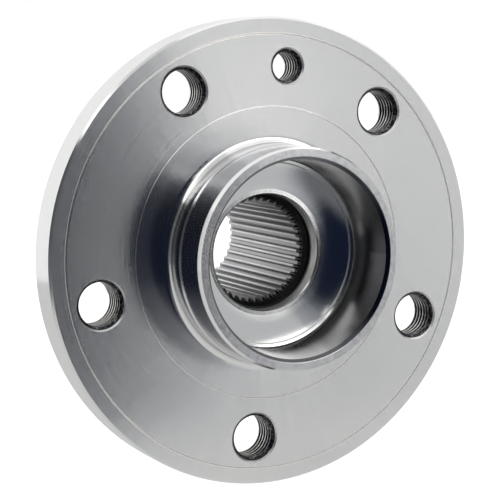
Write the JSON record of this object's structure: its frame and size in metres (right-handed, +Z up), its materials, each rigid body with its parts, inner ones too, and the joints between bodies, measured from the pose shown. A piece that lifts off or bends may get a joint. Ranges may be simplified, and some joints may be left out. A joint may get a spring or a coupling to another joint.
{
  "type": "wheel hub bearing",
  "caption": "Flanged car wheel hub with a centring pilot and a splined bore, turning on caged balls inside a sealed outer ring whose lobes bolt to the knuckle.",
  "frame": {"origin": "centre of the knuckle bolt pattern, on the rotation axis in the outer ring's mounting face", "axes": "-Y points outboard along the rotation axis towards the wheel, +Z up, +X to the right when the wheel face is looked at"},
  "size_m": [0.1356, 0.0765, 0.1356],
  "materials": {
    "turned_steel": "bright fine-turned steel",
    "forged_ring": "forged steel, machined on the seats",
    "ground_steel": "ground bearing steel",
    "ball_steel": "lapped and polished",
    "pressed_steel": "pressed stainless sheet",
    "seal_rubber": "moulded nitrile rubber",
    "encoder_rubber": "magnetised rubber",
    "cage_plastic": "moulded polyamide"
  },
  "bodies": {
    "fixed_ring": {"outer_ring": "forged_ring", "outboard_seal_case": "pressed_steel", "outboard_seal_lips": "seal_rubber", "inboard_seal_case": "pressed_steel", "inboard_seal_lips": "seal_rubber"},
    "rotating_hub": {"wheel_hub": "turned_steel", "inner_ring": "ground_steel", "slinger": "pressed_steel", "encoder_ring": "encoder_rubber"},
    "outboard_cage": {"outboard_cage": "cage_plastic"},
    "inboard_cage": {"inboard_cage": "cage_plastic"},
    "outboard_ball_01": {"outboard_ball_01": "ball_steel"},
    "outboard_ball_02": {"outboard_ball_02": "ball_steel"},
    "outboard_ball_03": {"outboard_ball_03": "ball_steel"},
    "outboard_ball_04": {"outboard_ball_04": "ball_steel"},
    "outboard_ball_05": {"outboard_ball_05": "ball_steel"},
    "outboard_ball_06": {"outboard_ball_06": "ball_steel"},
    "outboard_ball_07": {"outboard_ball_07": "ball_steel"},
    "outboard_ball_08": {"outboard_ball_08": "ball_steel"},
    "outboard_ball_09": {"outboard_ball_09": "ball_steel"},
    "outboard_ball_10": {"outboard_ball_10": "ball_steel"},
    "outboard_ball_11": {"outboard_ball_11": "ball_steel"},
    "outboard_ball_12": {"outboard_ball_12": "ball_steel"},
    "outboard_ball_13": {"outboard_ball_13": "ball_steel"},
    "inboard_ball_01": {"inboard_ball_01": "ball_steel"},
    "inboard_ball_02": {"inboard_ball_02": "ball_steel"},
    "inboard_ball_03": {"inboard_ball_03": "ball_steel"},
    "inboard_ball_04": {"inboard_ball_04": "ball_steel"},
    "inboard_ball_05": {"inboard_ball_05": "ball_steel"},
    "inboard_ball_06": {"inboard_ball_06": "ball_steel"},
    "inboard_ball_07": {"inboard_ball_07": "ball_steel"},
    "inboard_ball_08": {"inboard_ball_08": "ball_steel"},
    "inboard_ball_09": {"inboard_ball_09": "ball_steel"},
    "inboard_ball_10": {"inboard_ball_10": "ball_steel"},
    "inboard_ball_11": {"inboard_ball_11": "ball_steel"},
    "inboard_ball_12": {"inboard_ball_12": "ball_steel"},
    "inboard_ball_13": {"inboard_ball_13": "ball_steel"}
  },
  "joints": [
    {"name": "hub_spin", "type": "hinge", "parent": "fixed_ring", "child": "rotating_hub", "pos_m": [0, 0, 0], "axis": [0, -1, 0], "continuous": true},
    {"name": "outboard_cage_spin", "type": "hinge", "parent": "fixed_ring", "child": "outboard_cage", "pos_m": [0, -0.013, 0], "axis": [0, -1, 0], "continuous": true},
    {"name": "inboard_cage_spin", "type": "hinge", "parent": "fixed_ring", "child": "inboard_cage", "pos_m": [0, 0.004, 0], "axis": [0, -1, 0], "continuous": true},
    {"name": "outboard_ball_01_roll", "type": "hinge", "parent": "outboard_cage", "child": "outboard_ball_01", "pos_m": [0, -0.013, 0.0275], "axis": [0, -0.766, 0.6428], "continuous": true},
    {"name": "outboard_ball_02_roll", "type": "hinge", "parent": "outboard_cage", "child": "outboard_ball_02", "pos_m": [0.01278, -0.013, 0.02435], "axis": [0.2987, -0.766, 0.5692], "continuous": true},
    {"name": "outboard_ball_03_roll", "type": "hinge", "parent": "outboard_cage", "child": "outboard_ball_03", "pos_m": [0.02263, -0.013, 0.01562], "axis": [0.529, -0.766, 0.3651], "continuous": true},
    {"name": "outboard_ball_04_roll", "type": "hinge", "parent": "outboard_cage", "child": "outboard_ball_04", "pos_m": [0.0273, -0.013, 0.00331], "axis": [0.6381, -0.766, 0.0775], "continuous": true},
    {"name": "outboard_ball_05_roll", "type": "hinge", "parent": "outboard_cage", "child": "outboard_ball_05", "pos_m": [0.02571, -0.013, -0.00975], "axis": [0.601, -0.766, -0.2279], "continuous": true},
    {"name": "outboard_ball_06_roll", "type": "hinge", "parent": "outboard_cage", "child": "outboard_ball_06", "pos_m": [0.01824, -0.013, -0.02058], "axis": [0.4262, -0.766, -0.4811], "continuous": true},
    {"name": "outboard_ball_07_roll", "type": "hinge", "parent": "outboard_cage", "child": "outboard_ball_07", "pos_m": [0.00658, -0.013, -0.0267], "axis": [0.1538, -0.766, -0.6241], "continuous": true},
    {"name": "outboard_ball_08_roll", "type": "hinge", "parent": "outboard_cage", "child": "outboard_ball_08", "pos_m": [-0.00658, -0.013, -0.0267], "axis": [-0.1538, -0.766, -0.6241], "continuous": true},
    {"name": "outboard_ball_09_roll", "type": "hinge", "parent": "outboard_cage", "child": "outboard_ball_09", "pos_m": [-0.01824, -0.013, -0.02058], "axis": [-0.4262, -0.766, -0.4811], "continuous": true},
    {"name": "outboard_ball_10_roll", "type": "hinge", "parent": "outboard_cage", "child": "outboard_ball_10", "pos_m": [-0.02571, -0.013, -0.00975], "axis": [-0.601, -0.766, -0.2279], "continuous": true},
    {"name": "outboard_ball_11_roll", "type": "hinge", "parent": "outboard_cage", "child": "outboard_ball_11", "pos_m": [-0.0273, -0.013, 0.00331], "axis": [-0.6381, -0.766, 0.0775], "continuous": true},
    {"name": "outboard_ball_12_roll", "type": "hinge", "parent": "outboard_cage", "child": "outboard_ball_12", "pos_m": [-0.02263, -0.013, 0.01562], "axis": [-0.529, -0.766, 0.3651], "continuous": true},
    {"name": "outboard_ball_13_roll", "type": "hinge", "parent": "outboard_cage", "child": "outboard_ball_13", "pos_m": [-0.01278, -0.013, 0.02435], "axis": [-0.2987, -0.766, 0.5692], "continuous": true},
    {"name": "inboard_ball_01_roll", "type": "hinge", "parent": "inboard_cage", "child": "inboard_ball_01", "pos_m": [0, 0.004, 0.0275], "axis": [0, -0.766, -0.6428], "continuous": true},
    {"name": "inboard_ball_02_roll", "type": "hinge", "parent": "inboard_cage", "child": "inboard_ball_02", "pos_m": [0.01278, 0.004, 0.02435], "axis": [-0.2987, -0.766, -0.5692], "continuous": true},
    {"name": "inboard_ball_03_roll", "type": "hinge", "parent": "inboard_cage", "child": "inboard_ball_03", "pos_m": [0.02263, 0.004, 0.01562], "axis": [-0.529, -0.766, -0.3651], "continuous": true},
    {"name": "inboard_ball_04_roll", "type": "hinge", "parent": "inboard_cage", "child": "inboard_ball_04", "pos_m": [0.0273, 0.004, 0.00331], "axis": [-0.6381, -0.766, -0.0775], "continuous": true},
    {"name": "inboard_ball_05_roll", "type": "hinge", "parent": "inboard_cage", "child": "inboard_ball_05", "pos_m": [0.02571, 0.004, -0.00975], "axis": [-0.601, -0.766, 0.2279], "continuous": true},
    {"name": "inboard_ball_06_roll", "type": "hinge", "parent": "inboard_cage", "child": "inboard_ball_06", "pos_m": [0.01824, 0.004, -0.02058], "axis": [-0.4262, -0.766, 0.4811], "continuous": true},
    {"name": "inboard_ball_07_roll", "type": "hinge", "parent": "inboard_cage", "child": "inboard_ball_07", "pos_m": [0.00658, 0.004, -0.0267], "axis": [-0.1538, -0.766, 0.6241], "continuous": true},
    {"name": "inboard_ball_08_roll", "type": "hinge", "parent": "inboard_cage", "child": "inboard_ball_08", "pos_m": [-0.00658, 0.004, -0.0267], "axis": [0.1538, -0.766, 0.6241], "continuous": true},
    {"name": "inboard_ball_09_roll", "type": "hinge", "parent": "inboard_cage", "child": "inboard_ball_09", "pos_m": [-0.01824, 0.004, -0.02058], "axis": [0.4262, -0.766, 0.4811], "continuous": true},
    {"name": "inboard_ball_10_roll", "type": "hinge", "parent": "inboard_cage", "child": "inboard_ball_10", "pos_m": [-0.02571, 0.004, -0.00975], "axis": [0.601, -0.766, 0.2279], "continuous": true},
    {"name": "inboard_ball_11_roll", "type": "hinge", "parent": "inboard_cage", "child": "inboard_ball_11", "pos_m": [-0.0273, 0.004, 0.00331], "axis": [0.6381, -0.766, -0.0775], "continuous": true},
    {"name": "inboard_ball_12_roll", "type": "hinge", "parent": "inboard_cage", "child": "inboard_ball_12", "pos_m": [-0.02263, 0.004, 0.01562], "axis": [0.529, -0.766, -0.3651], "continuous": true},
    {"name": "inboard_ball_13_roll", "type": "hinge", "parent": "inboard_cage", "child": "inboard_ball_13", "pos_m": [-0.01278, 0.004, 0.02435], "axis": [0.2987, -0.766, -0.5692], "continuous": true}
  ],
  "couplings": [
    {"joint": "outboard_cage_spin", "follows": "hub_spin", "ratio": 0.42814},
    {"joint": "inboard_cage_spin", "follows": "hub_spin", "ratio": 0.42814},
    {"joint": "outboard_ball_01_roll", "follows": "hub_spin", "ratio": -2.6099},
    {"joint": "outboard_ball_02_roll", "follows": "hub_spin", "ratio": -2.6099},
    {"joint": "outboard_ball_03_roll", "follows": "hub_spin", "ratio": -2.6099},
    {"joint": "outboard_ball_04_roll", "follows": "hub_spin", "ratio": -2.6099},
    {"joint": "outboard_ball_05_roll", "follows": "hub_spin", "ratio": -2.6099},
    {"joint": "outboard_ball_06_roll", "follows": "hub_spin", "ratio": -2.6099},
    {"joint": "outboard_ball_07_roll", "follows": "hub_spin", "ratio": -2.6099},
    {"joint": "outboard_ball_08_roll", "follows": "hub_spin", "ratio": -2.6099},
    {"joint": "outboard_ball_09_roll", "follows": "hub_spin", "ratio": -2.6099},
    {"joint": "outboard_ball_10_roll", "follows": "hub_spin", "ratio": -2.6099},
    {"joint": "outboard_ball_11_roll", "follows": "hub_spin", "ratio": -2.6099},
    {"joint": "outboard_ball_12_roll", "follows": "hub_spin", "ratio": -2.6099},
    {"joint": "outboard_ball_13_roll", "follows": "hub_spin", "ratio": -2.6099},
    {"joint": "inboard_ball_01_roll", "follows": "hub_spin", "ratio": -2.6099},
    {"joint": "inboard_ball_02_roll", "follows": "hub_spin", "ratio": -2.6099},
    {"joint": "inboard_ball_03_roll", "follows": "hub_spin", "ratio": -2.6099},
    {"joint": "inboard_ball_04_roll", "follows": "hub_spin", "ratio": -2.6099},
    {"joint": "inboard_ball_05_roll", "follows": "hub_spin", "ratio": -2.6099},
    {"joint": "inboard_ball_06_roll", "follows": "hub_spin", "ratio": -2.6099},
    {"joint": "inboard_ball_07_roll", "follows": "hub_spin", "ratio": -2.6099},
    {"joint": "inboard_ball_08_roll", "follows": "hub_spin", "ratio": -2.6099},
    {"joint": "inboard_ball_09_roll", "follows": "hub_spin", "ratio": -2.6099},
    {"joint": "inboard_ball_10_roll", "follows": "hub_spin", "ratio": -2.6099},
    {"joint": "inboard_ball_11_roll", "follows": "hub_spin", "ratio": -2.6099},
    {"joint": "inboard_ball_12_roll", "follows": "hub_spin", "ratio": -2.6099},
    {"joint": "inboard_ball_13_roll", "follows": "hub_spin", "ratio": -2.6099}
  ]
}
